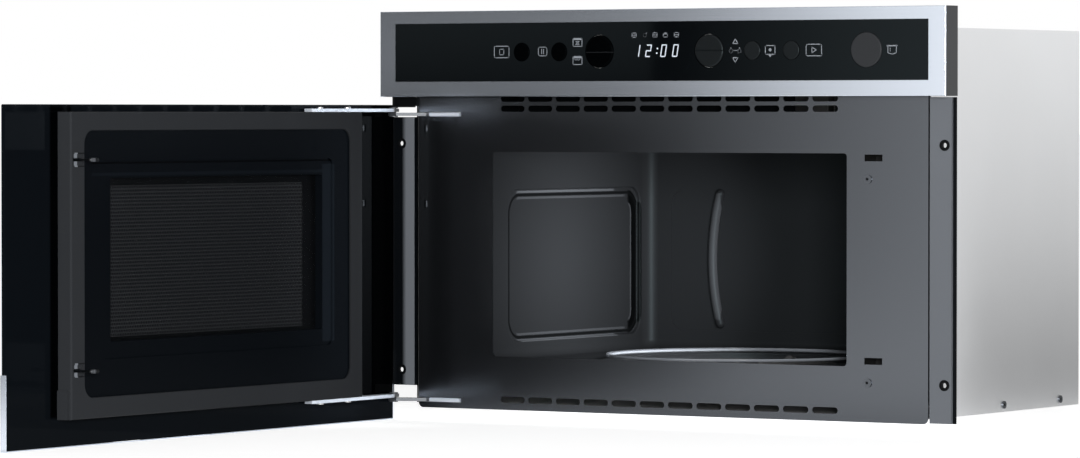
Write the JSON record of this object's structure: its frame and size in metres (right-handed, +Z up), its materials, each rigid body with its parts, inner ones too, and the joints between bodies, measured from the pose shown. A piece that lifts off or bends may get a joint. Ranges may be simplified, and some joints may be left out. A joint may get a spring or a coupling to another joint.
{
  "type": "built-in microwave oven",
  "caption": "Built-in microwave oven with grill: hinged glass door, control panel on top, turntable in an enamelled cavity, side flanges for a kitchen cabinet.",
  "frame": {"origin": "middle of the base's flat underside, which rests on the cabinet shelf", "axes": "+X to the right seen from the front, +Y from the door towards the back, +Z up"},
  "size_m": [0.599, 0.896, 0.382],
  "materials": {
    "stainless": "brushed along its length, satin",
    "housing_plastic": "fine grain",
    "fascia_gloss": "polished",
    "key_plastic": "satin",
    "door_key_plastic": "satin",
    "face_enamel": "satin enamel",
    "strip_enamel": "satin enamel",
    "bush_black": "matt",
    "casing_steel": "galvanised, smooth",
    "screw_zinc": "zinc plated",
    "cavity_enamel": "glossy enamel",
    "hinge_zinc": "bright zinc",
    "door_glass": "black printed, polished",
    "choke_plastic": "satin",
    "screen_grey": "perforated, satin",
    "pan_black": "satin",
    "clear_film": "clear",
    "mica": "flaky",
    "plate_glass": "clear, polished",
    "ring_plastic": "smooth",
    "drive_plastic": "smooth",
    "inner_plastic": "smooth",
    "switch_plastic": "smooth",
    "board_green": "printed board",
    "display_dark": "polished",
    "guide_steel": "plain sheet",
    "core_steel": "varnished",
    "can_aluminium": "drawn",
    "heater_sheath": "oxidised",
    "lamp_glass": "clear"
  },
  "bodies": {
    "oven": {"panel_frame": "stainless", "panel_housing": "housing_plastic", "fascia": "fascia_gloss", "face_plate": "face_enamel", "flange_left": "strip_enamel", "flange_right": "strip_enamel", "flange_bushes": "bush_black", "outer_wrapper": "casing_steel", "base_plate": "casing_steel", "back_panel": "casing_steel", "case_screws": "screw_zinc", "cavity_shell": "cavity_enamel", "hinge_bracket_upper": "hinge_zinc", "hinge_bracket_lower": "hinge_zinc", "hinge_pins": "hinge_zinc", "waveguide_cover": "mica", "button_frame": "inner_plastic", "latch_bracket": "switch_plastic", "fan_shroud": "inner_plastic", "cable_gland": "switch_plastic", "interlock_switches": "switch_plastic", "control_board": "board_green", "power_board": "board_green", "display_module": "display_dark", "waveguide": "guide_steel", "magnetron": "can_aluminium", "hv_capacitor": "can_aluminium", "hv_transformer": "core_steel", "fan_motor": "core_steel", "turntable_motor": "core_steel", "grill_heater": "heater_sheath", "grill_reflector": "guide_steel", "air_duct": "housing_plastic", "oven_lamp": "lamp_glass"},
    "door": {"door_glass": "door_glass", "door_band": "stainless", "door_body": "pan_black", "window_screen": "screen_grey", "window_film": "clear_film", "choke_frame": "choke_plastic", "hinge_arm_upper": "hinge_zinc", "hinge_arm_lower": "hinge_zinc", "door_screws": "screw_zinc", "latch_spring": "hinge_zinc"},
    "latch": {"latch_bar": "pan_black"},
    "turntable": {"glass_turntable": "plate_glass", "drive_coupler": "drive_plastic"},
    "ring": {"roller_ring": "ring_plastic"},
    "roller_one": {"roller_1": "ring_plastic"},
    "roller_two": {"roller_2": "ring_plastic"},
    "roller_three": {"roller_3": "ring_plastic"},
    "key_one": {"button_1": "key_plastic"},
    "key_two": {"button_2": "key_plastic"},
    "key_three": {"button_3": "key_plastic"},
    "key_four": {"button_4": "key_plastic"},
    "left_rocker": {"rocker_left": "key_plastic"},
    "right_rocker": {"rocker_right": "key_plastic"},
    "door_key": {"door_button": "door_key_plastic"},
    "release_lever": {"door_release_lever": "inner_plastic"},
    "fan": {"fan_rotor": "inner_plastic"}
  },
  "joints": [
    {"name": "door_hinge", "type": "hinge", "parent": "oven", "child": "door", "pos_m": [-0.29, -0.1585, 0.14], "axis": [0, 0, 1], "range_deg": [0, 90]},
    {"name": "latch_slide", "type": "slide", "parent": "door", "child": "latch", "axis": [0, 1, 0], "range_m": [0, 0.003], "stiffness_N_per_m": 300, "springref_m": -0.004, "deforming": ["latch_spring"]},
    {"name": "turntable_spin", "type": "hinge", "parent": "oven", "child": "turntable", "pos_m": [0, -0.017, 0.035], "axis": [0, 0, 1], "continuous": true},
    {"name": "ring_spin", "type": "hinge", "parent": "oven", "child": "ring", "pos_m": [0, -0.017, 0.035], "axis": [0, 0, 1], "continuous": true},
    {"name": "roller_1_spin", "type": "hinge", "parent": "ring", "child": "roller_one", "pos_m": [0, 0.084, 0.0353], "axis": [0, 1, 0], "continuous": true},
    {"name": "roller_2_spin", "type": "hinge", "parent": "ring", "child": "roller_two", "pos_m": [-0.08747, -0.0675, 0.0353], "axis": [-0.866, -0.5, 0], "continuous": true},
    {"name": "roller_3_spin", "type": "hinge", "parent": "ring", "child": "roller_three", "pos_m": [0.08747, -0.0675, 0.0353], "axis": [0.866, -0.5, 0], "continuous": true},
    {"name": "button_1_press", "type": "slide", "parent": "oven", "child": "key_one", "axis": [0, 1, 0], "range_m": [0, 0.0015], "stiffness_N_per_m": 200, "springref_m": -0.002},
    {"name": "button_2_press", "type": "slide", "parent": "oven", "child": "key_two", "axis": [0, 1, 0], "range_m": [0, 0.0015], "stiffness_N_per_m": 200, "springref_m": -0.002},
    {"name": "button_3_press", "type": "slide", "parent": "oven", "child": "key_three", "axis": [0, 1, 0], "range_m": [0, 0.0015], "stiffness_N_per_m": 200, "springref_m": -0.002},
    {"name": "button_4_press", "type": "slide", "parent": "oven", "child": "key_four", "axis": [0, 1, 0], "range_m": [0, 0.0015], "stiffness_N_per_m": 200, "springref_m": -0.002},
    {"name": "rocker_left_tilt", "type": "hinge", "parent": "oven", "child": "left_rocker", "pos_m": [-0.0578, -0.1654, 0.327], "axis": [1, 0, 0], "range_deg": [-3, 3], "stiffness_Nm_per_rad": 0.02},
    {"name": "rocker_right_tilt", "type": "hinge", "parent": "oven", "child": "right_rocker", "pos_m": [0.0578, -0.1654, 0.327], "axis": [1, 0, 0], "range_deg": [-3, 3], "stiffness_Nm_per_rad": 0.02},
    {"name": "door_button_press", "type": "slide", "parent": "oven", "child": "door_key", "axis": [0, 1, 0], "range_m": [0, 0.004], "stiffness_N_per_m": 300, "springref_m": -0.003},
    {"name": "door_release_tilt", "type": "hinge", "parent": "oven", "child": "release_lever", "pos_m": [0.2185, -0.136, 0.3], "axis": [-1, 0, 0], "range_deg": [0, 10]},
    {"name": "fan_spin", "type": "hinge", "parent": "oven", "child": "fan", "pos_m": [0.145, 0.078, 0.291], "axis": [0, 1, 0], "continuous": true}
  ],
  "couplings": [
    {"joint": "ring_spin", "follows": "turntable_spin", "ratio": 0.5},
    {"joint": "roller_1_spin", "follows": "turntable_spin", "ratio": -8.4167},
    {"joint": "roller_2_spin", "follows": "turntable_spin", "ratio": -8.4167},
    {"joint": "roller_3_spin", "follows": "turntable_spin", "ratio": -8.4167},
    {"joint": "door_release_tilt", "follows": "door_button_press", "rad_per_m": 43.6}
  ]
}
